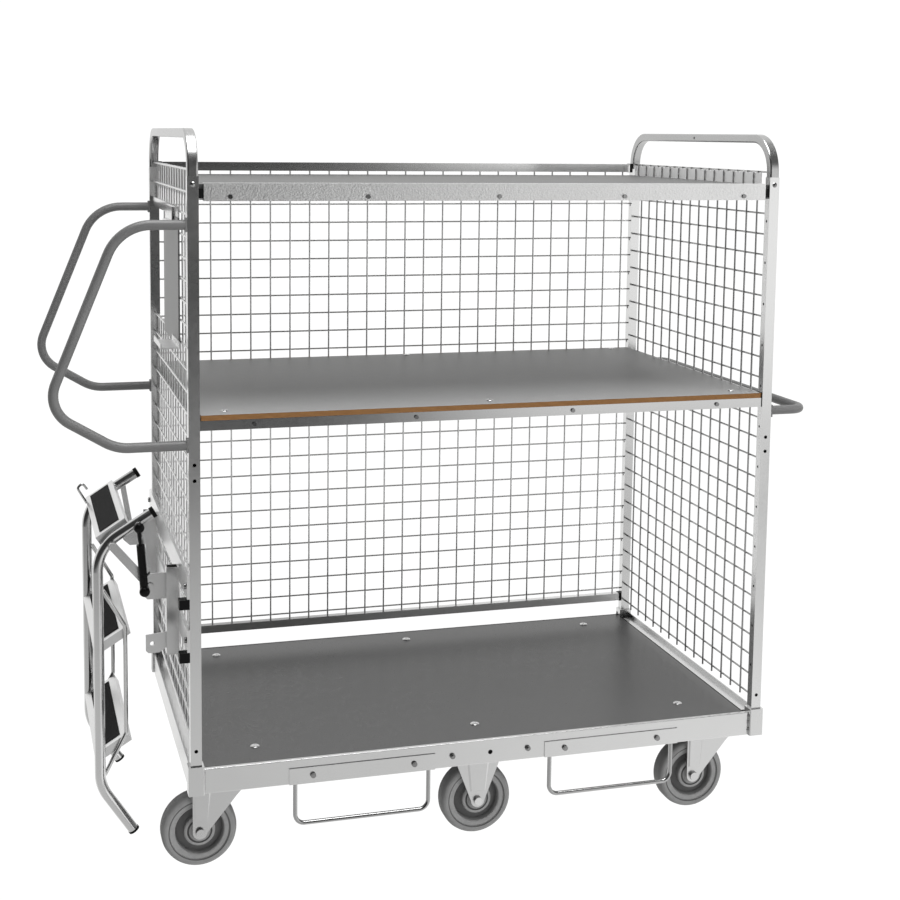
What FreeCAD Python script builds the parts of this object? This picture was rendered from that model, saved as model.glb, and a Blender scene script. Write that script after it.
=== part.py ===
import FreeCAD, Part
import os, math
from FreeCAD import Vector as V

os.makedirs("parts", exist_ok=True)

# ---- driving dimensions (mm), trolley centred on X and Y, open side to -Y
POST_X, POST_Y = 705.0, 415.0          # outer faces of the posts
POST_W, POST_D, POST_T = 25.0, 22.0, 2.0
POST_Z0, POST_Z1 = 213.0, 1590.0
HOLE_Z = (310.0, 925.0, 960.0)         # open holes in the posts' front and rear walls
SOCK_X0, SOCK_X1 = 675.0, 710.6        # corner sockets
SOCK_Y0, SOCK_Y1 = 388.0, 420.6
SOCK_Z0, SOCK_Z1 = 208.0, 275.0
SILL_Z0, SILL_Z1, SILL_T = 208.0, 266.0, 3.0
SILL_Y, SILL_X = 412.0, 705.0          # outer faces of the sills
FLANGE = 37.0
DECK_Z0, DECK_Z1 = 244.0, 256.0
MID_Z, TOP_Z, BOARD_T = 1069.0, 1572.0, 12.0
RAIL = 22.0
LIP_Z0, LIP_Z1, LIP_X = 1536.0, 1575.0, 669.0
WIRE_R = 2.4
WIRE_STEP = 2 * WIRE_R - 0.2           # crossed wires sink 0.2 into each other at the welds
ROW_PITCH = 50.0
END_COL_PITCH = (2 * POST_Y - 2 * POST_D) / 15.0
BACK_COL_PITCH = 54.3
END_ROW0, END_ROWS = 302.0, 27
BACK_ROW0, BACK_ROWS = 340.0, 25
MESH_X, MESH_Y = 692.5, 404.0          # planes of the end meshes and of the back mesh
BOW_W, BOW_D, BOW_TOP, BOW_BEND = 24.0, 21.0, 1692.0, 80.0   # bent rectangular tube
GRIP_R = 11.0
HANDLE_PATH = [(-709.0, 1485.0), (-847.0, 1485.0), (-1007.0, 1092.0), (-859.0, 1003.0), (-709.0, 1003.0)]
HANDLE_BENDS = [100.0, 70.0, 100.0]
RH_Z, RH_OUT, RH_BEND = 1024.0, 801.0, 35.0
CAST_X, CAST_Y, TRAIL = 623.0, 290.0, 50.0
AXLE_Z, WHEEL_R, RIM_R, AXLE_R, RUN = 76.0, 87.5, 68.0, 6.0, 0.05
LEG_IN, LEG_T = 29.0, 4.0              # fork legs, from the wheel's middle
LOOP_X, LOOP_HALF, LOOP_WIRE, LOOP_Z = 309.0, 158.0, 5.0, 112.0
LADDER_Y, LADDER_R = 210.0, 12.5
LADDER_PATH = [(-815.9, 50.8), (-890.0, 163.0), (-890.0, 732.0), (-767.0, 807.0)]
LADDER_BENDS = [100.0, 98.0]
TREAD_TILT = 31.4
PIV_P, PIV_Q = (-775.0, 642.0), (-858.0, 741.0)
STRUT_U, STRUT_L = (-799.0, 786.0), (-788.0, 636.0)
STRUT_Y = -251.0
SHIFT_X = 94.285                         # brings the middle of the whole part to x = 0
SHIFT_Z = WHEEL_R - AXLE_Z               # and the wheels down to z = 0

X, Y, Z = V(1, 0, 0), V(0, 1, 0), V(0, 0, 1)
nodes = {}


def put(name, *shapes):
    for s in shapes:
        nodes.setdefault(name, []).extend(s.Solids)


def box(x0, x1, y0, y1, z0, z1):
    a, b = sorted((x0, x1)); c, d = sorted((y0, y1)); e, f = sorted((z0, z1))
    return Part.makeBox(b - a, d - c, f - e, V(a, c, e))


def cyl(p, axis, r, h):
    return Part.makeCylinder(r, h, V(*p), axis)


def between(p, q, r):
    p, q = V(*p), V(*q)
    return Part.makeCylinder(r, (q - p).Length, p, q - p)


def bent(points, radii):
    pts = [V(*p) for p in points]
    edges, last = [], pts[0]
    for i, r in enumerate(radii):
        p, c, n = pts[i], pts[i + 1], pts[i + 2]
        u = (p - c).normalize(); w = (n - c).normalize()
        ang = math.acos(max(-1, min(1, u.dot(w))))
        t = r / math.tan(ang / 2)
        a, b = c + u * t, c + w * t
        m = (u + w).normalize()
        mid = c + m * (r / math.sin(ang / 2) - r)
        if (a - last).Length > 1e-6:
            edges.append(Part.makeLine(last, a))
        edges.append(Part.Arc(a, mid, b).toShape())
        last = b
    edges.append(Part.makeLine(last, pts[-1]))
    return Part.Wire(edges)


def rod(points, radii, r, bore=0.0):
    spine = bent(points, radii)
    p0, p1 = V(*points[0]), V(*points[1])

    def sweep(rad):
        ring = Part.Wire([Part.Circle(p0, p1 - p0, rad).toShape()])
        return spine.makePipeShell([ring], True, False)
    s = sweep(r)
    if bore:
        s = s.cut(sweep(bore))
    return s


def hexa(p, axis, af, h):
    axis = V(*axis)
    ref = V(0, 0, 1) if abs(axis.z) < 0.5 else V(1, 0, 0)
    side = axis.cross(ref).normalize(); up = side.cross(axis).normalize()
    rr = af / math.sqrt(3)
    ring = [V(*p) + side * (rr * math.cos(k * math.pi / 3)) + up * (rr * math.sin(k * math.pi / 3)) for k in range(7)]
    head = Part.Face(Part.makePolygon(ring)).extrude(axis * h)
    ball = Part.makeCone(rr * 1.02, rr * 0.82, h * 1.6, V(*p) - axis * (h * 0.6), axis)
    return head.common(ball)


def dome(p, axis, r, h):
    axis = V(*axis)
    rad = (r * r + h * h) / (2 * h)
    s = Part.makeSphere(rad, V(*p) + axis * (h - rad))
    return s.common(Part.makeCylinder(r * 1.01, h, V(*p), axis))


def plate_xz(pts, y0, y1):
    ring = [V(x, y0, z) for x, z in pts] + [V(pts[0][0], y0, pts[0][1])]
    return Part.Face(Part.makePolygon(ring)).extrude(V(0, y1 - y0, 0))


def bar_xz(p, q, w, y0, y1):
    a, b = V(p[0], 0, p[1]), V(q[0], 0, q[1])
    d = (b - a).normalize(); n = V(-d.z, 0, d.x) * (w / 2)
    body = plate_xz([((a + n).x, (a + n).z), ((b + n).x, (b + n).z), ((b - n).x, (b - n).z), ((a - n).x, (a - n).z)], y0, y1)
    for c in (p, q):
        body = body.fuse(cyl((c[0], min(y0, y1), c[1]), Y, w / 2, abs(y1 - y0)))
    return body


def tube_box(x0, x1, y0, y1, z0, z1, t, run):
    s = box(x0, x1, y0, y1, z0, z1)
    if run == "x":
        return s.cut(box(x0 - 1, x1 + 1, y0 + t, y1 - t, z0 + t, z1 - t))
    if run == "y":
        return s.cut(box(x0 + t, x1 - t, y0 - 1, y1 + 1, z0 + t, z1 - t))
    return s.cut(box(x0 + t, x1 - t, y0 + t, y1 - t, z0 - 1, z1 + 1))


def mx(s):
    return s.mirror(V(0, 0, 0), X)


def my(s):
    return s.mirror(V(0, 0, 0), Y)


# ---- base frame
sill = box(-SOCK_X0, SOCK_X0, -SILL_Y, -SILL_Y + SILL_T, SILL_Z0, SILL_Z1)
for z in (SILL_Z0, DECK_Z0 - SILL_T):
    sill = sill.fuse(box(-SOCK_X0, SOCK_X0, -SILL_Y + SILL_T, -SILL_Y + SILL_T + FLANGE, z, z + SILL_T))
sill = sill.fuse(box(-SOCK_X0, SOCK_X0, -SILL_Y + SILL_T, -SILL_Y + 9, SILL_Z1 - 2.5, SILL_Z1))
sill = sill.removeSplitter()
sill = sill.makeFillet(1.6, [e for e in sill.Edges if abs(e.Length - 2 * SOCK_X0) < 1 and abs(e.Vertexes[0].Y + SILL_Y) < 0.01])
front_sill = sill.cut(cyl((0, -SILL_Y - 1, 235), Y, 5.5, SILL_T + 2))
put("base_sills", front_sill, my(sill).cut(box(-800, 800, 400, 430, DECK_Z1 + 1, 300)))

end = box(-SILL_X, -SILL_X + SILL_T, -SOCK_Y0, SOCK_Y0, SILL_Z0, SILL_Z1)
for z in (SILL_Z0, DECK_Z1 - SILL_T):
    end = end.fuse(plate_xz([(-SILL_X + SILL_T, z), (-SILL_X + SILL_T + 25, z), (-SILL_X + SILL_T + 25, z + SILL_T), (-SILL_X + SILL_T, z + SILL_T)], -370, 370))
end = end.removeSplitter()
put("base_sills", end, mx(end))

for x in (-CAST_X, 0, CAST_X):
    s = box(x - 50, x + 50, -408.9, 408.9, 211, 241).cut(box(x - 46, x + 46, -420, 420, 215, 242))
    put("base_cross_members", s)

sock = box(SOCK_X0, SOCK_X1, SOCK_Y0, SOCK_Y1, SOCK_Z0, SOCK_Z1)
sock = sock.makeChamfer(2.0, [e for e in sock.Edges if abs(e.Vertexes[0].Z - e.Vertexes[-1].Z) > 10])
sock = sock.cut(box(POST_X - POST_W, POST_X, POST_Y - POST_D, POST_Y, POST_Z0, SOCK_Z1 + 1))
put("corner_sockets", sock, mx(sock), my(sock), mx(my(sock)))

deck = box(-674, 674, -408.5, 408.5, DECK_Z0, DECK_Z1)


def flush_screws(board, xs, ys, z, r):
    for x in xs:
        for y in ys:
            board = board.cut(cyl((x, y, z - 3), Z, r, 5))
            put("bolts_and_screws", cyl((x, y, z - 3), Z, r, 2.9).cut(cyl((x, y, z - 1.6), Z, r * 0.3, 3)))
    return board


put("deck_board", flush_screws(deck, (-540, 0, 540), (-290, 345), DECK_Z1, 10.0))

# ---- posts and grip bows
for name, sx, sy in (("left_posts", -1, -1), ("left_posts", -1, 1), ("right_posts", 1, -1), ("right_posts", 1, 1)):
    s = tube_box(POST_X - POST_W, POST_X, POST_Y - POST_D, POST_Y, POST_Z0, POST_Z1, POST_T, "z")
    for z in HOLE_Z:
        s = s.cut(cyl((POST_X - POST_W / 2, POST_Y - 3, z), Y, 4.2, 6))
    for k in range(12):
        s = s.cut(cyl((POST_X - POST_W - 3, POST_Y - POST_D / 2, 385 + 100 * k), X, 3.2, 6))
    if sx < 0:
        s = mx(s)
    if sy < 0:
        s = my(s)
    put(name, s)
bx, by = POST_X - POST_W / 2, POST_Y - POST_D / 2


def rounded(w, d, r):
    hw, hd = w / 2, d / 2
    c = math.sqrt(0.5)
    e = []
    for (sx, sy), (tx, ty) in (((1, -1), (1, 1)), ((1, 1), (-1, 1)), ((-1, 1), (-1, -1)), ((-1, -1), (1, -1))):
        if sx == tx:
            p, q = (sx * hw, sy * (hd - r)), (tx * hw, ty * (hd - r))
        else:
            p, q = (sx * (hw - r), sy * hd), (tx * (hw - r), ty * hd)
        e.append(Part.makeLine(V(p[0], p[1], 0), V(q[0], q[1], 0)))
        k = V(tx * (hw - r), ty * (hd - r), 0)
        nxt = V(tx * (hw - r), ty * hd, 0) if sx == tx else V(tx * hw, ty * (hd - r), 0)
        e.append(Part.Arc(V(q[0], q[1], 0), k + V(tx, ty, 0) * (r * c), nxt).toShape())
    return Part.Wire(e)


def bow(sx):
    zt = BOW_TOP - BOW_D / 2
    spine = bent([(sx * bx, -by, POST_Z1), (sx * bx, -by, zt), (sx * bx, by, zt), (sx * bx, by, POST_Z1)], [BOW_BEND, BOW_BEND])
    out = None
    for w, d, r in ((BOW_W, BOW_D, 4.0), (BOW_W - 4, BOW_D - 4, 2.0)):
        ring = rounded(w, d, r)
        ring.translate(V(sx * bx, -by, POST_Z1))
        pipe = spine.makePipeShell([ring], True, False)
        out = pipe if out is None else out.cut(pipe)
    return out.cut(cyl((sx * bx if sx < 0 else bx - 30, 0, zt), X, 3.5, 30))


for name, sx in (("left_grip_bow", -1), ("right_grip_bow", 1)):
    put(name, bow(sx))
    for sy in (-1, 1):
        put(name, box(sx * bx - 9.9, sx * bx + 9.9, sy * by - 8.4, sy * by + 8.4, POST_Z1 - 45, POST_Z1 + 6))

# ---- meshes
ymax = POST_Y - POST_D
cols = [-ymax + END_COL_PITCH * k for k in range(1, 15)]
rows = [END_ROW0 + ROW_PITCH * k for k in range(END_ROWS)]
WIN_Z0, WIN_Z1 = rows[18], rows[24]
WIN_Y = cols[3]


def end_rows(xp, zs, y0, y1):
    return [cyl((xp, y0, z), Y, WIRE_R, y1 - y0) for z in zs]


def end_cols(xp, ys, z0, z1):
    return [cyl((xp, y, z0), Z, WIRE_R, z1 - z0) for y in ys]


xr_in = MESH_X - WIRE_STEP
put("right_end_mesh", *end_rows(MESH_X, rows, -ymax, ymax))
put("right_end_mesh", *end_cols(xr_in, cols, rows[0] - 12, rows[-1] + WIRE_R))
put("left_mesh_lower", *end_rows(-MESH_X, rows[:19], -ymax, ymax))
put("left_mesh_lower", *end_cols(-xr_in, cols, rows[0] - 12, WIN_Z0 + WIRE_R))
put("left_mesh_upper", *end_rows(-MESH_X, rows[24:], -ymax, ymax))
put("left_mesh_upper", *end_cols(-xr_in, cols, WIN_Z1 - WIRE_R, rows[-1] + WIRE_R))
put("left_mesh_side", *end_rows(-MESH_X, rows[19:24], -ymax, WIN_Y + WIRE_R))
put("left_mesh_side", *end_cols(-xr_in, cols[:4], WIN_Z0 + WIRE_R, WIN_Z1 - WIRE_R))

bcols = [BACK_COL_PITCH * k for k in range(-12, 13)]
brows = [BACK_ROW0 + ROW_PITCH * k for k in range(BACK_ROWS)]
xin = POST_X - POST_W
put("back_mesh", *[cyl((-xin, MESH_Y, z), X, WIRE_R, 2 * xin) for z in brows])
put("back_mesh", *[cyl((x, MESH_Y - WIRE_STEP, 325), Z, WIRE_R, 1581 - 325) for x in bcols])
for z0, z1 in ((304, 325), (1581, 1604)):
    put("back_rails", tube_box(-672, 672, MESH_Y - 10, MESH_Y + 10, z0, z1, 2.0, "x"))
    for sx in (-1, 1):
        put("rail_end_plugs", box(sx * 672, sx * xin, MESH_Y - 11, MESH_Y + 11, z0 - 1, z1 + 1))

# ---- middle shelf
mz1 = MID_Z - BOARD_T; mz0 = mz1 - RAIL
put("mid_shelf_board", flush_screws(box(-677, 677, -412, 392, mz1, MID_Z), (-620, 0, 620), (-366, 372), MID_Z, 8.0))
for sx in (-1, 1):
    put("mid_shelf_frame", box(sx * 677, sx * 679, -412 + RAIL, 392 - RAIL, mz0, MID_Z))
put("mid_shelf_frame", tube_box(-xin, xin, -412, -412 + RAIL, mz0, mz1, 2, "x"))
put("mid_shelf_frame", tube_box(-xin, xin, 392 - RAIL, 392, mz0, mz1, 2, "x"))
for x in (-666, 0, 666):
    put("mid_shelf_frame", tube_box(x - 11, x + 11, -412 + RAIL, 392 - RAIL, mz0, mz1, 2, "y"))

# ---- top shelf
tz1 = TOP_Z - BOARD_T; tz0 = tz1 - RAIL
put("top_shelf_board", box(-677, 677, -398, 392, tz1, TOP_Z))
put("top_shelf_frame", tube_box(-xin, xin, -398, -398 + RAIL, tz0, tz1, 2, "x"))
put("top_shelf_frame", tube_box(-xin, xin, 392 - RAIL, 392, tz0, tz1, 2, "x"))
for x in (-666, 0, 666):
    put("top_shelf_frame", tube_box(x - 11, x + 11, -398 + RAIL, 392 - RAIL, tz0, tz1, 2, "y"))
for sx in (-1, 1):
    put("top_shelf_frame", box(sx * 677, sx * 679, -398 + RAIL, 392 - RAIL, LIP_Z0 + 2, TOP_Z + 28))
lip = box(-LIP_X, LIP_X, -415, -398, LIP_Z0, LIP_Z1).cut(box(-LIP_X - 1, LIP_X + 1, -413, -390, LIP_Z0 + 2, LIP_Z1 - 2))
put("top_shelf_lip", lip)
for sx in (-1, 1):
    put("rail_end_plugs", box(sx * LIP_X, sx * xin, -414, -399, LIP_Z0 + 6, LIP_Z1 - 12))

# ---- handles
for name, y in (("push_handle_front", -by), ("push_handle_rear", by)):
    put(name, rod([(x, y, z) for x, z in HANDLE_PATH], HANDLE_BENDS, GRIP_R, GRIP_R - 2))
    for z in (1485, 1003):
        put(name, box(-709, -POST_X, y - 11, y + 11, z - 15, z + 15))
put("right_end_handle", rod([(709, -by, RH_Z), (RH_OUT, -by, RH_Z), (RH_OUT, by, RH_Z), (709, by, RH_Z)], [RH_BEND, RH_BEND], GRIP_R, GRIP_R - 2))
for y in (-by, by):
    put("right_end_handle", box(POST_X, 709, y - 11, y + 11, RH_Z - 15, RH_Z + 15))

# ---- writing board with ledge and clip bar
wx = -MESH_X - WIRE_R
put("writing_board", box(wx - 4, wx, -189, 111, 1190, 1488))
ledge = box(wx - 49, wx - 4, -221, -74, 1190, 1193).fuse(box(wx - 49, wx - 46.5, -221, -74, 1193, 1203)).fuse(box(wx - 6.5, wx - 4, -221, -74, 1193, 1205)).removeSplitter()
put("writing_board", ledge)
put("board_clip", box(wx - 4, wx, -189, 392.5, 1489, 1513))
clip = box(wx - 9, wx - 4, -110, 30, 1470, 1509).fuse(box(wx - 15, wx - 9, -110, 30, 1470, 1476)).removeSplitter()
clip = clip.cut(box(wx - 6.2, wx - 3, -120, 40, 1460, 1487))
put("board_clip", clip)

# ---- ladder carrier on the left end
for z0, z1 in ((660, 716), (539, 590)):
    put("ladder_crossbars", box(-711, -POST_X, -POST_Y, POST_Y, z0, z1))
for z0, z1 in ((637, 659), (516, 538)):
    for sy in (-1, 1):
        put("crossbar_saddles", box(-728, -POST_X, sy * 392, sy * 416, z0, z1))
for sy in (-1, 1):
    y0, y1 = sorted((sy * 234, sy * 240))
    cheek = plate_xz([(-739, 612), (-780, 612), (-797, 628), (-797, 646), (-787, 660), (-775, 672), (-739, 672)], y0, y1)
    f0, f1 = sorted((sy * 234, sy * 262))
    foot = tube_box(-739, -711, f0, f1, 484, 690, 2.5, "z")
    put("ladder_bracket", cheek.cut(cyl((PIV_P[0], -300, PIV_P[1]), Y, 8.0 + RUN, 600)), foot)
lug = cyl((STRUT_L[0], -262, STRUT_L[1]), Y, 4.0, 22)
lugcap = cyl((STRUT_L[0], -263.5, STRUT_L[1]), Y, 7.0, 2.5)
put("bolts_and_screws", lug.fuse(lugcap).removeSplitter())
latch = plate_xz([(-739, 532), (-785, 527), (-785, 490), (-779, 484), (-754, 484), (-739, 495)], -240, -236)
latch = latch.cut(cyl((-770, -250, 506), Y, 5.5, 30))
put("latch_plate", latch)

# ---- fork loops under the front sill
for sx in (-1, 1):
    cx = sx * LOOP_X
    p = box(cx - 173, cx + 173, -415, -412, 208, 246)
    put("fork_loop_plates", p)
    put("fork_loops", rod([(cx - LOOP_HALF, -408, 208), (cx - LOOP_HALF, -408, LOOP_Z), (cx + LOOP_HALF, -408, LOOP_Z), (cx + LOOP_HALF, -408, 208)], [22, 22], LOOP_WIRE))

# ---- casters
def plate_hole(x, y):
    s = box(x - 52, x + 52, y - 42, y + 42, 206, 211)
    s = s.makeFillet(8, [e for e in s.Edges if abs(e.Vertexes[0].Z - e.Vertexes[-1].Z) > 3])
    return s


def wheel(x, y):
    def ring(pts):
        pts = [V(r, w, 0) for r, w in pts]
        f = Part.Face(Part.makePolygon(pts + [pts[0]]))
        s = f.revolve(V(0, 0, 0), Y, 360)
        s.translate(V(x, y, AXLE_Z))
        return s
    half = [(AXLE_R + RUN, 28.4), (19, 28.4), (21, 27), (21.5, 25), (25.5, 24.8), (26, 23.4), (28, 23.4), (28.5, 24.4), (33.5, 24), (36, 22), (37.5, 10), (54, 7), (57, 20), (59, 21.6), (RIM_R, 22)]
    rim = ring([(r, -w) for r, w in half] + half[::-1])
    half = [(RIM_R, 22), (69.5, 23.6), (71.5, 24.3), (74, 24.6), (79, 24), (83, 21.5), (86, 17), (WHEEL_R, 11)]
    tyre = ring([(r, -w) for r, w in half] + half[::-1])
    return rim, tyre


def legs(pts, xa, y, rib):
    out = []
    for sy in (-1, 1):
        o = y + sy * (LEG_IN + LEG_T)
        y0, y1 = sorted((y + sy * LEG_IN, o))
        a = plate_xz(pts, y0, y1).fuse(cyl((xa, y0, AXLE_Z), Y, 17, LEG_T))
        cx = sum(q[0] for q in rib) / len(rib); cz = sum(q[1] for q in rib) / len(rib)
        rings = []
        for k, d in ((1.0, 0.0), (0.82, 3.0)):
            ring = [V(cx + (q[0] - cx) * k, o + sy * d, cz + (q[1] - cz) * (1.0 if k == 1.0 else 0.96)) for q in rib]
            rings.append(Part.makePolygon(ring + [ring[0]]))
        out.append(a.fuse(Part.makeLoft(rings, True, True)))
    return out


def axle(x, y):
    o = LEG_IN + LEG_T
    s = cyl((x, y - o - 6, AXLE_Z), Y, AXLE_R, 2 * o + 12)
    return s.fuse(hexa((x, y - o, AXLE_Z), (0, -1, 0), 21, 8)).fuse(hexa((x, y + o, AXLE_Z), (0, 1, 0), 21, 8)).removeSplitter()


corners = (("fl", -1, -1), ("fr", 1, -1), ("rl", -1, 1), ("rr", 1, 1))
for tag, sx, sy in corners:
    x, y = sx * CAST_X, sy * CAST_Y
    p = plate_hole(x, y).fuse(cyl((x, y, 200), Z, 36, 6)).fuse(cyl((x, y, 176), Z, AXLE_R, 30)).fuse(hexa((x, y, 183.6), (0, 0, -1), 19, 8)).removeSplitter()
    put("caster_plates", p)
    xa = x - TRAIL
    fork = box(xa - 17, x + 60, y - LEG_IN, y + LEG_IN, 184, 190)
    side = [(xa - 17, AXLE_Z), (xa - 17, 190), (x + 60, 190), (x + 60, 184), (x + 36, 158), (xa + 17, AXLE_Z - 2)]
    rib = [(xa - 14, 186), (xa + 26, 186), (xa + 18, AXLE_Z + 24), (xa - 14, AXLE_Z + 24)]
    fork = fork.fuse(cyl((x, y, 190), Z, 40, 9.6)).cut(cyl((x, y, 150), Z, AXLE_R + RUN, 60)).removeSplitter()
    cut = cyl((xa, y - 60, AXLE_Z), Y, AXLE_R, 120)
    pieces = [fork] + [l.cut(cut).removeSplitter() for l in legs(side, xa, y, rib)] + [axle(xa, y)] + list(wheel(xa, y))
    if tag == "rl":                     # this castor rests turned half round
        pieces = [q.mirror(V(x, 0, 0), X) for q in pieces]
    put("swivel_fork_" + tag, *pieces[:-2])
    put("wheel_rim_" + tag, pieces[-2])
    put("tyre_" + tag, pieces[-1])
for tag, sy in (("fm", -1), ("rm", 1)):
    y = sy * CAST_Y
    put("caster_plates", plate_hole(0, y))
    put("fixed_forks", box(-66, 66, y - LEG_IN, y + LEG_IN, 201, 206))
    side = [(-66, 206), (66, 206), (62, 192), (17, AXLE_Z), (-17, AXLE_Z), (-62, 192)]
    rib = [(-31, 203), (31, 203), (20, AXLE_Z + 24), (-20, AXLE_Z + 24)]
    for l in legs(side, 0, y, rib):
        put("fixed_forks", l.cut(cyl((0, y - 60, AXLE_Z), Y, AXLE_R, 120)).removeSplitter())
    put("fixed_axles", axle(0, y))
    rim, tyre = wheel(0, y)
    put("wheel_rim_" + tag, rim)
    put("tyre_" + tag, tyre)

# ---- ladder
def lad(p, y):
    return (p[0], y, p[1])


for sy in (-1, 1):
    y = sy * LADDER_Y
    r = rod([lad(p, y) for p in LADDER_PATH], LADDER_BENDS, LADDER_R, LADDER_R - 2)
    r = r.cut(cyl((PIV_Q[0], y - 30, PIV_Q[1]), Y, 6.0 + RUN, 60))
    put("ladder_rails", r)
    for a, b in ((0, 1), (3, 2)):
        e = V(*lad(LADDER_PATH[a], y)); d = (e - V(*lad(LADDER_PATH[b], y))).normalize()
        cap = Part.makeCylinder(LADDER_R + 0.8, 9 if a else 5, e, d).fuse(Part.makeCylinder(LADDER_R - 2, 18, e - d * 18, d)).removeSplitter()
        put("ladder_end_caps", cap)
    yb = sy * 202.5
    brace = rod([(-878.5, yb, 628.6), (-829, yb, 542), (-829, yb, 284), (-878.5, yb, 187.0)], [14, 14], 5)
    brace = brace.cut(rod([lad(p, y) for p in LADDER_PATH], LADDER_BENDS, LADDER_R))
    put("ladder_braces", max(brace.Solids, key=lambda q: q.Volume))


def tread(front, rear, half):
    f, r = V(front[0], 0, front[1]), V(rear[0], 0, rear[1])
    d = (r - f); L = d.Length; d.normalize()
    ang = math.degrees(math.atan2(-d.z, -d.x))
    b = box(-L, 0, -half, half, -20, 0).cut(box(-L + 2.5, -2.5, -half + 2.5, half - 2.5, -21, -2.5))
    pad = box(-L * 0.5 - 26, -L * 0.5 + 26, -half + 20, half - 20, 0, 1.5)
    for s in (b, pad):
        s.rotate(V(0, 0, 0), V(0, -1, 0), ang)
        s.translate(f)
    put("ladder_steps", b)
    put("ladder_step_pads", pad)
    return b


top_step = tread((-827, 796), (-893.3, 753.3), LADDER_Y - LADDER_R)
hook = rod([(-892.8, 150, 750.8), (-915.3, 150, 790.3), (-903.3, 150, 803.3), (-891.3, 150, 786.3)], [7, 7], 3.2).cut(top_step)
put("ladder_braces", max(hook.Solids, key=lambda q: q.Volume))
tread((-826, 538.3), (-902, 491.9), LADDER_Y - LADDER_R)
tread((-826, 280.3), (-902, 233.9), LADDER_Y - LADDER_R)

# ---- swing arms, cross shaft and gas strut
for sy in (-1, 1):
    y0, y1 = sorted((sy * 226, sy * 232))
    arm = bar_xz(PIV_P, PIV_Q, 20, y0, y1).fuse(cyl((PIV_P[0], y0, PIV_P[1]), Y, 13, 6))
    arm = arm.fuse(bar_xz(PIV_P, STRUT_U, 14, y0, y1))
    pin = cyl((PIV_Q[0], min(sy * 198, sy * 226), PIV_Q[1]), Y, 6.0, 28)
    nut = hexa((PIV_Q[0], sy * 232, PIV_Q[1]), (0, sy, 0), 17, 6)
    arm = arm.fuse(pin).fuse(nut)
    if sy < 0:
        arm = arm.fuse(cyl((STRUT_U[0], -262, STRUT_U[1]), Y, 4.0, 30)).fuse(cyl((STRUT_U[0], -264, STRUT_U[1]), Y, 8.5, 3))
    arm = arm.cut(cyl((PIV_P[0], -300, PIV_P[1]), Y, 8.0, 600))
    put("swing_arms", arm.removeSplitter())
for y0 in (-240.5, 226.0):
    head = hexa((PIV_P[0], y0, PIV_P[1]), (0, -1, 0), 19, 4) if y0 < 0 else hexa((PIV_P[0], y0 + 14.5, PIV_P[1]), (0, 1, 0), 19, 4)
    put("swing_arms", cyl((PIV_P[0], y0, PIV_P[1]), Y, 8.0, 14.5).fuse(head).removeSplitter())

ul = V(STRUT_U[0] - STRUT_L[0], 0, STRUT_U[1] - STRUT_L[1])
SL = ul.Length; sd = V(ul); sd.normalize()
lo = V(STRUT_L[0], STRUT_Y, STRUT_L[1]); up = V(STRUT_U[0], STRUT_Y, STRUT_U[1])
eye = Part.makeCylinder(9, 12, lo - Y * 6, Y)
barrel = eye.fuse(Part.makeCylinder(5, 14, lo, sd)).fuse(Part.makeCylinder(9.5, 96, lo + sd * 13, sd))
barrel = barrel.cut(Part.makeCylinder(4.0 + RUN, 40, lo - Y * 20, Y)).cut(Part.makeCylinder(4.0 + RUN, 100, lo + sd * 22, sd)).removeSplitter()
put("gas_strut_cylinder", barrel)
eye2 = Part.makeCylinder(11, 12, up - Y * 6, Y)
stem = eye2.fuse(Part.makeCylinder(4.0, SL - 10 - 52, lo + sd * 52, sd)).fuse(Part.makeCylinder(5, 14, up - sd * 22, sd))
stem = stem.cut(Part.makeCylinder(6.0, 40, up - Y * 20, Y)).removeSplitter()
put("gas_strut_rod", stem)

# ---- bolts and screws
for sx in (-1, 1):
    for x in (187, 427):
        put("bolts_and_screws", hexa((sx * x, -415, 227), (0, -1, 0), 13, 5).fuse(cyl((sx * x, -420.6, 227), Y, 4, 5.6)).removeSplitter())
    put("bolts_and_screws", hexa((sx * 93.5, -412, 235), (0, -1, 0), 13, 5).fuse(cyl((sx * 93.5, -420.5, 235), Y, 4, 8.5)).removeSplitter())
    for x in (190, 560):
        put("bolts_and_screws", hexa((sx * x, -412, (mz0 + mz1) / 2), (0, -1, 0), 10, 4))
    for x in (306, 612):
        put("bolts_and_screws", hexa((sx * x, -415, 1545.5), (0, -1, 0), 10, 4))
    for sy in (-1, 1):
        put("bolts_and_screws", dome((sx * bx, sy * POST_Y, 1572), (0, sy, 0), 6.0, 3.0))
    for z in (688, 565):
        put("bolts_and_screws", hexa((-711, sx * by, z), (-1, 0, 0), 13, 5))
put("bolts_and_screws", hexa((0, -415, 1545.5), (0, -1, 0), 10, 4))

for name, solids in nodes.items():
    bad = [i for i, q in enumerate(solids) if not q.isValid()]
    if bad:
        print("invalid solids in", name, bad)
    for q in solids:
        q.translate(V(SHIFT_X, 0, SHIFT_Z))
    s = Part.makeCompound(solids) if len(solids) > 1 else solids[0]
    s.exportStep("parts/%s.step" % name)
print(len(nodes), "nodes,", sum(len(v) for v in nodes.values()), "solids")
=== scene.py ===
import bpy, bmesh, math
from mathutils import Matrix, Vector


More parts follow.
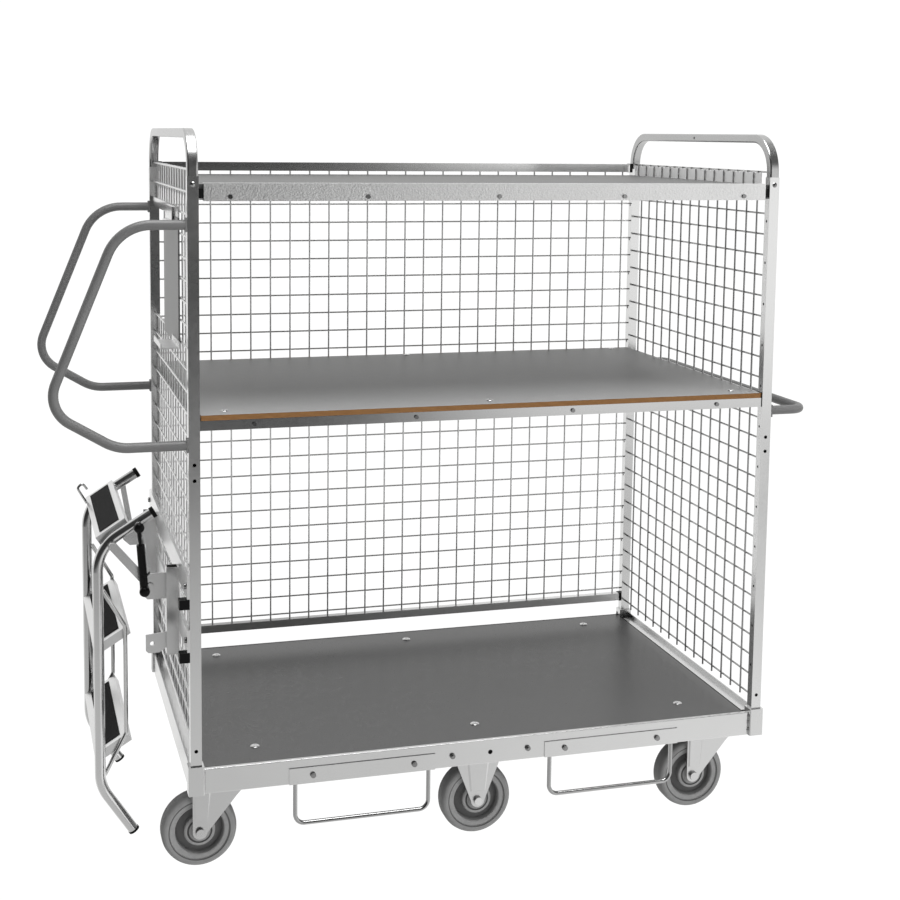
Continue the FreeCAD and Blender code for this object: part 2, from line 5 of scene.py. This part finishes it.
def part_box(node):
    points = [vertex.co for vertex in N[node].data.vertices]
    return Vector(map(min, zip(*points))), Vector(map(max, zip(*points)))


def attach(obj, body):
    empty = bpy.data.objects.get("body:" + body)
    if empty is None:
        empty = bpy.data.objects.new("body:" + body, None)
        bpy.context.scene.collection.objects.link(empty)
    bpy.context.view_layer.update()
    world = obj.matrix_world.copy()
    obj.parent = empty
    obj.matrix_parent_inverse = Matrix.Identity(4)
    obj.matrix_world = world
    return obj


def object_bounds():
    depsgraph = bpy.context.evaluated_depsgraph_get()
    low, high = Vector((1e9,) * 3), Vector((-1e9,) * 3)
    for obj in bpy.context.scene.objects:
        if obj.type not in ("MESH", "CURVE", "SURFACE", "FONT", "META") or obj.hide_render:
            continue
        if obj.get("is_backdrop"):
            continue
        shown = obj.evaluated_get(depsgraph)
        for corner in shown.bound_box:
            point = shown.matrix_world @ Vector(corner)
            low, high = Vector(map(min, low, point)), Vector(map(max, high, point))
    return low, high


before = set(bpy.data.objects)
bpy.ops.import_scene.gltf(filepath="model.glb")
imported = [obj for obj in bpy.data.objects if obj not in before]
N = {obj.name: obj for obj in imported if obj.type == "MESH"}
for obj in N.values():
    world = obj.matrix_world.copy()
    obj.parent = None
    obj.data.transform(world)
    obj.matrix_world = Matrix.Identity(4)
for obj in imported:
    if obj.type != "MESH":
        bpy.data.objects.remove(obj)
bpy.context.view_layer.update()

BACK_L, FLOOR_L, KEY_L, TOP_L, AMBIENT = 0.95, 0.80, 1.14, 0.75, 0.045
LOBE = (0.20, 0.36, 1.2, 1.7)       # azimuth window of the bright side, from the front towards +x

# ------------------------------------------------------------------ node helpers


class Mat:
    def __init__(self, name, metallic=0.0, rough=0.5, spec=0.5):
        self.m = bpy.data.materials.new(name)
        self.m.use_nodes = True
        self.t = self.m.node_tree
        self.b = self.t.nodes["Principled BSDF"]
        self.b.inputs["Metallic"].default_value = metallic
        self.b.inputs["Roughness"].default_value = rough
        self.b.inputs["Specular IOR Level"].default_value = spec
        self.co = self.n("ShaderNodeTexCoord").outputs["Object"]

    def n(self, kind, **kw):
        x = self.t.nodes.new(kind)
        for k, v in kw.items():
            setattr(x, k, v)
        return x

    def link(self, a, b):
        self.t.links.new(a, b)

    def scaled(self, s, loc=(0, 0, 0)):
        mp = self.n("ShaderNodeMapping")
        mp.inputs["Scale"].default_value = s
        mp.inputs["Location"].default_value = loc
        self.link(self.co, mp.inputs["Vector"])
        return mp.outputs["Vector"]

    def noise(self, scale, detail=3.0, rough=0.55, vec=None):
        x = self.n("ShaderNodeTexNoise")
        x.inputs["Scale"].default_value = scale
        x.inputs["Detail"].default_value = detail
        x.inputs["Roughness"].default_value = rough
        self.link(vec or self.co, x.inputs["Vector"])
        return x.outputs["Fac"]

    def cells(self, scale, vec=None, feature="F1", out="Color"):
        x = self.n("ShaderNodeTexVoronoi", feature=feature)
        x.inputs["Scale"].default_value = scale
        self.link(vec or self.co, x.inputs["Vector"])
        if out == "Color":
            s = self.n("ShaderNodeSeparateColor")
            self.link(x.outputs["Color"], s.inputs["Color"])
            return s.outputs["Red"]
        return x.outputs["Distance"]

    def remap(self, v, a, b, lo, hi):
        x = self.n("ShaderNodeMapRange")
        for k, q in zip(("From Min", "From Max", "To Min", "To Max"), (a, b, lo, hi)):
            x.inputs[k].default_value = q
        self.link(v, x.inputs["Value"])
        return x.outputs["Result"]

    def math(self, op, a, b=None, c=None):
        x = self.n("ShaderNodeMath", operation=op)
        for i, q in enumerate((a, b, c)):
            if q is None:
                continue
            if isinstance(q, (int, float)):
                x.inputs[i].default_value = q
            else:
                self.link(q, x.inputs[i])
        return x.outputs[0]

    def ramp(self, v, stops, interp="LINEAR"):
        x = self.n("ShaderNodeValToRGB")
        x.color_ramp.interpolation = interp
        e = x.color_ramp.elements
        while len(e) < len(stops):
            e.new(0.5)
        for el, (p, c) in zip(e, stops):
            el.position = p
            el.color = (c[0], c[1], c[2], 1.0)
        self.link(v, x.inputs["Fac"])
        return x.outputs["Color"]

    def mix(self, f, a, b, mode="MIX"):
        x = self.n("ShaderNodeMix", data_type="RGBA", blend_type=mode)
        for sock, q in ((x.inputs[0], f), (x.inputs[6], a), (x.inputs[7], b)):
            if isinstance(q, (int, float)):
                sock.default_value = q
            elif isinstance(q, tuple):
                sock.default_value = (q[0], q[1], q[2], 1.0)
            else:
                self.link(q, sock)
        return x.outputs[2]

    def bump(self, h, strength, dist, prev=None):
        x = self.n("ShaderNodeBump")
        x.inputs["Strength"].default_value = strength
        x.inputs["Distance"].default_value = dist
        self.link(h, x.inputs["Height"])
        if prev is not None:
            self.link(prev, x.inputs["Normal"])
        return x.outputs["Normal"]

    def set(self, color=None, rough=None, normal=None):
        if color is not None:
            self.link(color, self.b.inputs["Base Color"])
        if rough is not None:
            self.link(rough, self.b.inputs["Roughness"])
        if normal is not None:
            self.link(normal, self.b.inputs["Normal"])
        return self.m


def grey(v, warm=0.0):
    return (v * (1 + warm), v, v * (1 - warm))


def galvanised(name, lo, hi, r0, r1, spangle=110.0, brush=None, line=0.04, top_gloss_and_painted_shade=0.0):
    k = Mat(name, metallic=1.0, rough=0.4)
    sp = k.cells(spangle)
    big = k.noise(2.4, 4.0)
    fine = k.noise(300.0, 3.0)
    v = k.math("ADD", k.math("MULTIPLY", sp, 0.05), k.math("ADD", k.math("MULTIPLY", big, 0.90), k.math("MULTIPLY", fine, 0.05)))
    col = k.ramp(v, [(0.25, grey(lo)), (0.5, grey((lo + hi) / 2)), (0.75, grey(hi))])
    rg = k.remap(k.math("ADD", k.math("MULTIPLY", sp, 0.10), k.math("ADD", k.math("MULTIPLY", big, 0.84), k.math("MULTIPLY", fine, 0.06))), 0.25, 0.75, r0, r1)
    # the flag lowers roughness towards the top and also switches on a painted shade gradient along x
    if top_gloss_and_painted_shade:
        z = k.n("ShaderNodeSeparateXYZ")
        k.link(k.co, z.inputs["Vector"])
        rg = k.math("SUBTRACT", rg, k.remap(z.outputs["Z"], 0.9, 1.1, 0.0, top_gloss_and_painted_shade))
        # painted shade: the colour is multiplied darker towards -x and brighter towards +x, so one end reads shaded and
        # the other lit
        painted_side_shade = k.ramp(k.remap(z.outputs["X"], -0.25, 0.60, 0.0, 1.0), [(0.0, grey(0.55)), (0.55, grey(0.92)), (1.0, grey(1.0))])
        col = k.mix(1.0, col, painted_side_shade, "MULTIPLY")
    if brush:
        h = k.noise(1.0, 2.0, vec=k.scaled(brush))
        nrm = k.bump(h, line, 0.0004, k.bump(fine, 0.006, 0.0002))
    else:
        nrm = k.bump(fine, 0.006, 0.0002)
    return k.set(col, rg, nrm)


GALV = galvanised("galvanised_steel", 0.64, 0.74, 0.20, 0.30)
POST = galvanised("zinc_post", 0.66, 0.76, 0.15, 0.23, brush=(500.0, 500.0, 2.0))
GALV_X = galvanised("galvanised_rolled", 0.66, 0.76, 0.20, 0.28, brush=(3.0, 900.0, 900.0), line=0.012)
SHELF = galvanised("shelf_tube", 0.58, 0.68, 0.11, 0.17, brush=(3.0, 900.0, 900.0), line=0.012)
# the back rails carry a painted shade gradient along x, dark at the left end and bright at the right
RAIL = galvanised("rolled_rail", 0.84, 0.94, 0.50, 0.58, brush=(3.0, 700.0, 700.0), line=0.02, top_gloss_and_painted_shade=0.38)
WIRE = galvanised("zinc_wire", 0.72, 0.84, 0.26, 0.38, spangle=180.0)
BRIGHT = galvanised("bright_zinc_tube", 0.68, 0.80, 0.14, 0.24, spangle=120.0)
PRESS = galvanised("zinc_pressing", 0.62, 0.74, 0.22, 0.34, spangle=110.0)
BOW = galvanised("zinc_bow", 0.42, 0.52, 0.18, 0.28)
TUBE = galvanised("ladder_tube", 0.58, 0.70, 0.12, 0.20, brush=(600.0, 600.0, 3.0), line=0.02)
WIRE_R = galvanised("end_wire", 0.46, 0.56, 0.24, 0.34, spangle=180.0)
LOOP = galvanised("loop_wire", 0.38, 0.48, 0.16, 0.26)
BOLT = galvanised("zinc_bolt", 0.22, 0.34, 0.14, 0.22)
PLATE = galvanised("pale_plate", 0.82, 0.90, 0.28, 0.38)
STRIP = galvanised("dull_strip", 0.90, 0.95, 0.56, 0.62)
WELD = galvanised("weld_bead", 0.34, 0.60, 0.22, 0.40, spangle=420.0)
STEP = galvanised("step_sheet", 0.72, 0.84, 0.30, 0.42, spangle=90.0)


def dull_sheet():
    """The writing board: a dull sheet with a pale ledge along its foot."""
    k = Mat("dull_sheet", metallic=1.0, rough=0.42)
    z = k.n("ShaderNodeSeparateXYZ")
    k.link(k.co, z.inputs["Vector"])
    big = k.noise(3.0, 4.0)
    sheet = k.ramp(big, [(0.3, grey(0.17)), (0.7, grey(0.22))])
    ledge = k.ramp(big, [(0.3, grey(0.80)), (0.7, grey(0.90))])
    col = k.mix(k.math("LESS_THAN", z.outputs["X"], -0.6049), sheet, ledge)
    return k.set(col, k.remap(big, 0.3, 0.7, 0.36, 0.46), k.bump(k.noise(300.0, 3.0), 0.006, 0.0002))


BOARD = dull_sheet()


def hammered():
    k = Mat("stucco_galvanised", metallic=1.0, rough=0.42)
    vec = k.scaled((290.0, 290.0, 570.0))
    st = k.noise(1.0, 2.0, 0.5, vec)
    cell = k.cells(210.0, out="Distance")
    sp = k.noise(5.0, 3.0)
    col = k.ramp(k.math("ADD", k.math("MULTIPLY", st, 0.7), k.math("MULTIPLY", sp, 0.3)), [(0.3, grey(0.80)), (0.7, grey(0.93))])
    rg = k.remap(st, 0.3, 0.7, 0.28, 0.42)
    h = k.math("ADD", st, k.math("MULTIPLY", cell, 0.6))
    return k.set(col, rg, k.bump(h, 0.34, 0.0010))


LIP = hammered()


def film_board(name, base, edge=True, z0=0.0, z1=1.0, spec=0.45, r0=0.34, r1=0.5):
    k = Mat(name, rough=0.42, spec=spec)
    sp = k.noise(300.0, 2.0, 0.7)
    mid = k.noise(38.0, 4.0, 0.6)
    big = k.noise(1.6, 3.0, 0.5)
    v = k.math("ADD", k.math("MULTIPLY", sp, 0.55), k.math("ADD", k.math("MULTIPLY", mid, 0.2), k.math("MULTIPLY", big, 0.25)))
    top = k.ramp(v, [(0.30, grey(base * 0.78)), (0.50, grey(base)), (0.66, grey(base * 1.22)), (0.8, grey(base * 1.6))])
    rg = k.remap(v, 0.3, 0.7, r0, r1)
    nrm = k.bump(sp, 0.28, 0.0005)
    if not edge:
        return k.set(top, rg, nrm)
    g = k.n("ShaderNodeNewGeometry")
    sep = k.n("ShaderNodeSeparateXYZ")
    k.link(g.outputs["True Normal"], sep.inputs["Vector"])
    side = k.math("LESS_THAN", k.math("ABSOLUTE", sep.outputs["Z"]), 0.5)
    p = k.n("ShaderNodeSeparateXYZ")
    k.link(k.co, p.inputs["Vector"])
    wob = k.math("MULTIPLY", k.math("SUBTRACT", k.noise(24.0, 3.0), 0.5), 0.0006)
    layer = k.math("FRACT", k.math("DIVIDE", k.math("ADD", k.math("SUBTRACT", p.outputs["Z"], z0), wob), (z1 - z0) / 4.5))
    grain = k.noise(1.0, 4.0, 0.6, k.scaled((60.0, 60.0, 1600.0)))
    ply = k.ramp(layer, [(0.0, (0.06, 0.028, 0.010)), (0.42, (0.21, 0.103, 0.038)), (0.52, (0.36, 0.192, 0.078)), (0.93, (0.28, 0.142, 0.053)), (1.0, (0.06, 0.028, 0.010))])
    ply = k.mix(k.remap(grain, 0.35, 0.65, 0.0, 0.45), ply, (0.16, 0.075, 0.03))
    col = k.mix(side, top, ply)
    return k.set(col, k.math("MAXIMUM", rg, k.math("MULTIPLY", side, 0.62)), nrm)


DECK = film_board("deck_film", 0.045, edge=False, spec=0.75, r0=0.24, r1=0.38)
MID = film_board("mid_shelf_film", 0.290, True, 1.0685, 1.0805, spec=0.15)
TOP = film_board("top_shelf_film", 0.085, edge=False, spec=0.2)


def paint(name, v, rough, peel=420.0, strength=0.08, spec=0.5):
    k = Mat(name, rough=rough, spec=spec)
    a = k.noise(peel, 2.0, 0.5)
    b = k.noise(6.0, 4.0)
    col = k.ramp(k.math("ADD", k.math("MULTIPLY", a, 0.35), k.math("MULTIPLY", b, 0.65)), [(0.3, grey(v * 0.86)), (0.7, grey(v * 1.14))])
    rg = k.remap(b, 0.3, 0.7, rough - 0.06, rough + 0.08)
    return k.set(col, rg, k.bump(a, strength, 0.0005))


HANDLE = paint("grey_powder_coat", 0.135, 0.42)
BLACK = paint("black_moulding", 0.006, 0.42, 300.0, spec=0.08)
STRUT = paint("black_strut", 0.005, 0.26, 200.0, 0.03, spec=0.14)


def grip_pad():
    k = Mat("anti_slip_pad", rough=0.85, spec=0.15)
    g = k.cells(900.0, out="Distance")
    n = k.noise(650.0, 3.0)
    col = k.ramp(k.math("ADD", k.math("MULTIPLY", g, 0.5), k.math("MULTIPLY", n, 0.5)), [(0.25, grey(0.006)), (0.55, grey(0.018)), (0.8, grey(0.05))])
    return k.set(col, k.remap(n, 0.3, 0.7, 0.75, 0.95), k.bump(g, 0.6, 0.0008))


PAD = grip_pad()


def radial(k, cx, cy, cz):
    p = k.n("ShaderNodeSeparateXYZ")
    k.link(k.co, p.inputs["Vector"])
    dx = k.math("SUBTRACT", p.outputs["X"], cx)
    dz = k.math("SUBTRACT", p.outputs["Z"], cz)
    r = k.math("SQRT", k.math("ADD", k.math("MULTIPLY", dx, dx), k.math("MULTIPLY", dz, dz)))
    return r, k.math("ABSOLUTE", k.math("SUBTRACT", p.outputs["Y"], cy))


def tyre(tag, c):
    k = Mat("tyre_" + tag, rough=0.62, spec=0.35)
    r, w = radial(k, *c)
    t = k.remap(r, 0.068, 0.0875, 0.0, 1.0)
    # colour rings by radius: a painted shadow as a dark ring in the groove near the inner edge; the rubber is also
    # darker towards the outer edge
    col = k.ramp(t, [(0.0, grey(0.24)), (0.06, grey(0.22)), (0.10, grey(0.07)), (0.17, grey(0.07)), (0.22, grey(0.29)), (0.70, grey(0.28)), (0.85, grey(0.21)), (1.0, grey(0.16))])
    dirt = k.noise(45.0, 5.0, 0.6)
    fine = k.noise(700.0, 2.0)
    col = k.mix(k.remap(dirt, 0.35, 0.7, 0.0, 0.3), col, grey(0.17))
    return k.set(col, k.remap(dirt, 0.3, 0.7, 0.52, 0.72), k.bump(fine, 0.12, 0.0004))


def rim(tag, c):
    k = Mat("rim_" + tag, rough=0.5, spec=0.45)
    r, w = radial(k, *c)
    t = k.remap(r, 0.0, 0.068, 0.0, 1.0)
    # colour rings by radius: painted shade as a dark band in a thin groove and a broad dark band across the recess
    # inside the outer rim
    col = k.ramp(t, [(0.0, grey(0.28)), (0.35, grey(0.30)), (0.38, grey(0.05)), (0.42, grey(0.05)), (0.44, grey(0.34)), (0.52, grey(0.30)), (0.56, grey(0.10)), (0.79, grey(0.09)), (0.84, grey(0.31)), (1.0, grey(0.33))])
    n = k.noise(120.0, 4.0)
    col = k.mix(k.remap(n, 0.35, 0.7, 0.0, 0.25), col, grey(0.16))
    return k.set(col, k.remap(n, 0.3, 0.7, 0.42, 0.6), k.bump(k.noise(500.0, 2.0), 0.08, 0.0004))


# ------------------------------------------------------------------ finishes on the frame pieces
def finish(m, *names):
    for nm in names:
        o = N[nm]
        o.data.materials.clear()
        o.data.materials.append(m)


finish(POST, "left_posts", "right_posts")
finish(GALV, "corner_sockets", "ladder_bracket", "latch_plate", "swing_arms")
finish(BOW, "left_grip_bow", "right_grip_bow")
finish(BOARD, "writing_board")
finish(PLATE, "ladder_crossbars")
finish(TUBE, "ladder_rails", "ladder_braces")
finish(LOOP, "fork_loops")
finish(GALV_X, "base_sills", "base_cross_members", "fork_loop_plates")
finish(STRIP, "top_shelf_frame")
finish(SHELF, "mid_shelf_frame")
finish(RAIL, "back_rails")
finish(LIP, "top_shelf_lip")
finish(WIRE, "left_mesh_lower", "left_mesh_upper", "left_mesh_side", "back_mesh")
finish(WIRE_R, "right_end_mesh")
finish(BRIGHT, "board_clip", "fixed_axles")
finish(BOLT, "bolts_and_screws")
finish(PRESS, "caster_plates", "fixed_forks", "swivel_fork_fl", "swivel_fork_fr", "swivel_fork_rl", "swivel_fork_rr")
finish(STEP, "ladder_steps")
finish(DECK, "deck_board")
finish(MID, "mid_shelf_board")
finish(TOP, "top_shelf_board")
finish(HANDLE, "push_handle_front", "push_handle_rear", "right_end_handle")
finish(BLACK, "rail_end_plugs", "crossbar_saddles", "ladder_end_caps")
finish(STRUT, "gas_strut_cylinder", "gas_strut_rod")
finish(PAD, "ladder_step_pads")
for tag in ("fl", "fr", "rl", "rr", "fm", "rm"):
    lo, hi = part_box("tyre_" + tag)
    c = ((lo[0] + hi[0]) / 2, (lo[1] + hi[1]) / 2, (lo[2] + hi[2]) / 2)
    finish(tyre(tag, c), "tyre_" + tag)
    finish(rim(tag, c), "wheel_rim_" + tag)

# ------------------------------------------------------------------ small pieces that only the look needs
SX, SZ = 0.094285, 0.0115           # the frame's origin against the trolley's own middle and castor plane


def piece(name, build, mat, body):
    bm = bmesh.new()
    build(bm)
    bmesh.ops.recalc_face_normals(bm, faces=bm.faces)
    me = bpy.data.meshes.new(name)
    bm.to_mesh(me)
    bm.free()
    for f in me.polygons:
        f.use_smooth = True
    o = bpy.data.objects.new(name, me)
    bpy.context.scene.collection.objects.link(o)
    me.materials.append(mat)
    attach(o, body)
    return o


def lathe(bm, prof, c, ax, u, v, seg=28):
    """A closed turned form: prof is (radius, height along ax); it starts and ends on the axis."""
    c, ax, u, v = Vector(c), Vector(ax), Vector(u), Vector(v)
    rows = []
    for r, h in prof:
        if r == 0:
            rows.append([bm.verts.new(c + ax * h)])
        else:
            rows.append([bm.verts.new(c + ax * h + u * (r * math.cos(2 * math.pi * i / seg)) + v * (r * math.sin(2 * math.pi * i / seg))) for i in range(seg)])
    for a, b in zip(rows, rows[1:]):
        for i in range(seg):
            j = (i + 1) % seg
            if len(a) == 1:
                bm.faces.new((a[0], b[i], b[j]))
            elif len(b) == 1:
                bm.faces.new((a[i], b[0], a[j]))
            else:
                bm.faces.new((a[i], b[i], b[j], a[j]))


def heads(pts, z, r, h):
    def build(bm):
        for x, y in pts:
            prof = [(0, -0.0002), (r * 0.97, -0.0002), (r, h * 0.12), (r * 0.97, h * 0.34), (r * 0.86, h * 0.62), (r * 0.64, h * 0.85), (r * 0.34, h * 0.97), (r * 0.2, h), (r * 0.17, h * 0.7), (0, h * 0.66)]
            lathe(bm, prof, (x + SX, y, z + SZ), (0, 0, 1), (1, 0, 0), (0, 1, 0))
    return build


piece("deck_screw_heads", heads([(x, y) for x in (-0.54, 0.0, 0.54) for y in (-0.29, 0.345)], 0.256, 0.0112, 0.0036), BRIGHT, "chassis")
piece("shelf_screw_heads", heads([(x, y) for x in (-0.62, 0.0, 0.62) for y in (-0.366, 0.372)], 1.069, 0.0088, 0.0028), BRIGHT, "chassis")


def socket(bm, x, z):
    prof = [(0, 0.0), (0.0045, 0.0002), (0.0085, 0.0014), (0.0112, 0.0044), (0.0122, 0.009), (0.0117, 0.0138), (0.0098, 0.0175), (0.0098, 0.0200), (0, 0.0200)]
    lathe(bm, prof, (x + SX, -0.2665, z + SZ), (0, 1, 0), (1, 0, 0), (0, 0, 1))


piece("strut_socket_upper", lambda bm: socket(bm, -0.799, 0.786), STRUT, "strut_piston")
piece("strut_socket_lower", lambda bm: socket(bm, -0.788, 0.636), STRUT, "strut_barrel")


def bead(bm, x, y, phase):
    n = 40
    prof = [(0, 0.0)]
    for i in range(n + 1):
        t = i / n
        r = 0.0026 + 0.0007 * abs(math.sin(9.5 * math.pi * t + phase)) + 0.0004 * math.sin(17.0 * t + 3.1 * phase)
        prof.append((r * min(1.0, 0.45 + 4.0 * min(t, 1 - t)), 0.0005 + 0.055 * t))
    prof.append((0, 0.056))
    lathe(bm, prof, (x + SX, y, 0.2085 + SZ), (0, 0, 1), (1, 0, 0), (0, 1, 0), 12)


def beads(bm):
    for i, (x, y) in enumerate([(sx * 0.6745, sy * 0.4125) for sx in (-1, 1) for sy in (-1, 1)] + [(sx * 0.7055, sy * 0.3875) for sx in (-1, 1) for sy in (-1, 1)]):
        bead(bm, x, y, 0.7 * i)


piece("socket_welds", beads, WELD, "chassis")


def end_wires(bm):
    prof = [(0, 0.0), (0.0012, 0.0), (0.0015, 0.0006), (0.0014, 0.011), (0.0016, 0.021), (0.0015, 0.0285), (0.0010, 0.0296), (0, 0.0298)]
    for i in range(14):
        lathe(bm, prof, (0.6752 + SX, (i - 6.5) * 0.0524, 1.5725 + SZ), (0, 0, 1), (1, 0, 0), (0, 1, 0), 12)


piece("shelf_end_wires", end_wires, WIRE_R, "chassis")

# ------------------------------------------------------------------ stage: white cove, studio light, camera
bm = bmesh.new()
prof = [(0.0, 0.0)] + [(2.0 * i, 0.0) for i in range(1, 6)]
prof += [(10.0 + 4.0 * math.sin(a), 4.0 - 4.0 * math.cos(a)) for a in [math.radians(9 * i) for i in range(1, 11)]] + [(14.0, 24.0), (0.0, 24.0)]
seg = 64
rings = []
for r, z in prof:
    if r == 0:
        rings.append([bm.verts.new((0, 0, z - 0.002))])
    else:
        rings.append([bm.verts.new((r * math.cos(2 * math.pi * i / seg), r * math.sin(2 * math.pi * i / seg), z - 0.002)) for i in range(seg)])
for a, b in zip(rings, rings[1:]):
    for i in range(seg):
        j = (i + 1) % seg
        if len(a) == 1:
            bm.faces.new((a[0], b[i], b[j]))
        elif len(b) == 1:
            bm.faces.new((a[i], b[0], a[j]))
        else:
            bm.faces.new((a[i], b[i], b[j], a[j]))
me = bpy.data.meshes.new("cove")
bm.to_mesh(me)
bm.free()
cove = bpy.data.objects.new("cove", me)
bpy.context.scene.collection.objects.link(cove)
k = Mat("white_cove", rough=1.0, spec=0.0)
k.b.inputs["Base Color"].default_value = (0, 0, 0, 1)
k.b.inputs["Emission Color"].default_value = (1, 1, 1, 1)
k.b.inputs["Emission Strength"].default_value = 1.05
me.materials.append(k.m)
cove.visible_diffuse = False
cove.visible_glossy = False
cove.visible_transmission = False
cove.visible_shadow = False
cove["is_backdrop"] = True

# the room as a light field: white backdrop behind, pale floor below, dark studio in front
world = bpy.data.worlds.new("studio")
bpy.context.scene.world = world
world.use_nodes = True
wt = world.node_tree
bg = wt.nodes["Background"]
tc = wt.nodes.new("ShaderNodeTexCoord")
sp = wt.nodes.new("ShaderNodeSeparateXYZ")
wt.links.new(tc.outputs["Generated"], sp.inputs["Vector"])


def wm(op, a, b=None):
    x = wt.nodes.new("ShaderNodeMath")
    x.operation = op
    for i, q in enumerate((a, b)):
        if q is None:
            continue
        if isinstance(q, (int, float)):
            x.inputs[i].default_value = q
        else:
            wt.links.new(q, x.inputs[i])
    return x.outputs[0]


def smooth(v, a, b, lo, hi):
    x = wt.nodes.new("ShaderNodeMapRange")
    x.interpolation_type = "SMOOTHSTEP"
    for key, q in zip(("From Min", "From Max", "To Min", "To Max"), (a, b, lo, hi)):
        x.inputs[key].default_value = q
    wt.links.new(v, x.inputs["Value"])
    return x.outputs["Result"]


WX, WY, WZ = sp.outputs["X"], sp.outputs["Y"], sp.outputs["Z"]
back = smooth(WY, -0.15, 0.45, 0.0, BACK_L)
az = wm("ARCTAN2", WX, wm("MULTIPLY", WY, -1.0))
floor = wm("MULTIPLY", smooth(wm("MULTIPLY", WZ, -1.0), 0.155, 0.35, 0.0, FLOOR_L), smooth(az, 0.1, 0.6, 0.86, 1.3))
lobe = wm("MULTIPLY", smooth(az, LOBE[0], LOBE[1], 0.0, 1.0), smooth(az, LOBE[2], LOBE[3], 1.0, 0.0))
lobe = wm("MULTIPLY", wm("MULTIPLY", lobe, smooth(WZ, -0.25, -0.14, 0.45, KEY_L)), smooth(WZ, 0.12, 0.40, 1.0, 0.14))
top = smooth(WZ, 0.80, 0.97, 0.0, TOP_L)
total = wm("MAXIMUM", wm("MAXIMUM", back, floor), wm("MAXIMUM", lobe, wm("MAXIMUM", top, AMBIENT)))
wt.links.new(total, bg.inputs["Strength"])
bg.inputs["Color"].default_value = (1.0, 1.0, 0.993, 1)


def area(name, loc, at, size, power):
    d = bpy.data.lights.new(name, "AREA")
    d.shape = "RECTANGLE"
    d.size, d.size_y = size
    d.energy = power
    o = bpy.data.objects.new(name, d)
    bpy.context.scene.collection.objects.link(o)
    o.location = loc
    o.rotation_mode = "QUATERNION"
    o.rotation_quaternion = (Vector(at) - Vector(loc)).to_track_quat("-Z", "Y")
    o.visible_camera = False
    return o


area("top_soft", (0.2, -0.9, 4.4), (0.1, 0, 0.6), (3.0, 2.4), 150)
key = area("right_key", (3.6, -3.4, 2.4), (0.2, 0, 0.9), (1.8, 2.2), 90)
key.visible_glossy = False
fill = area("front_fill", (-1.6, -4.8, 1.0), (0.0, 0.0, 0.5), (3.0, 1.6), 55)
fill.visible_glossy = False

cam_d = bpy.data.cameras.new("camera")
cam = bpy.data.objects.new("camera", cam_d)
bpy.context.scene.collection.objects.link(cam)
YAW, PITCH, ROLL = 0.2778, 0.1100, 0.0107
F_PX, CX, CY = 1502.3, 423.0, 300.0
fwd = Vector((math.sin(YAW), math.cos(YAW), 0))
right = Vector((math.cos(YAW), -math.sin(YAW), 0))
up = Vector((0, 0, 1))
f2 = fwd * math.cos(PITCH) - up * math.sin(PITCH)
u2 = up * math.cos(PITCH) + fwd * math.sin(PITCH)
r3 = right * math.cos(ROLL) + u2 * math.sin(ROLL)
u3 = u2 * math.cos(ROLL) - right * math.sin(ROLL)
mw = Matrix((r3, u3, -f2)).transposed().to_4x4()
mw.translation = Vector((-1.00508, -3.64547, 1.69568))
cam.matrix_world = mw
cam_d.sensor_fit = "HORIZONTAL"
cam_d.sensor_width = 36.0
cam_d.lens = F_PX / 900.0 * 36.0
cam_d.shift_x = (450.0 - CX) / 900.0
cam_d.shift_y = (CY - 450.0) / 900.0
cam_d.clip_end = 200.0
bpy.context.scene.camera = cam
bpy.context.scene.view_settings.view_transform = "Standard"

lo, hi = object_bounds()
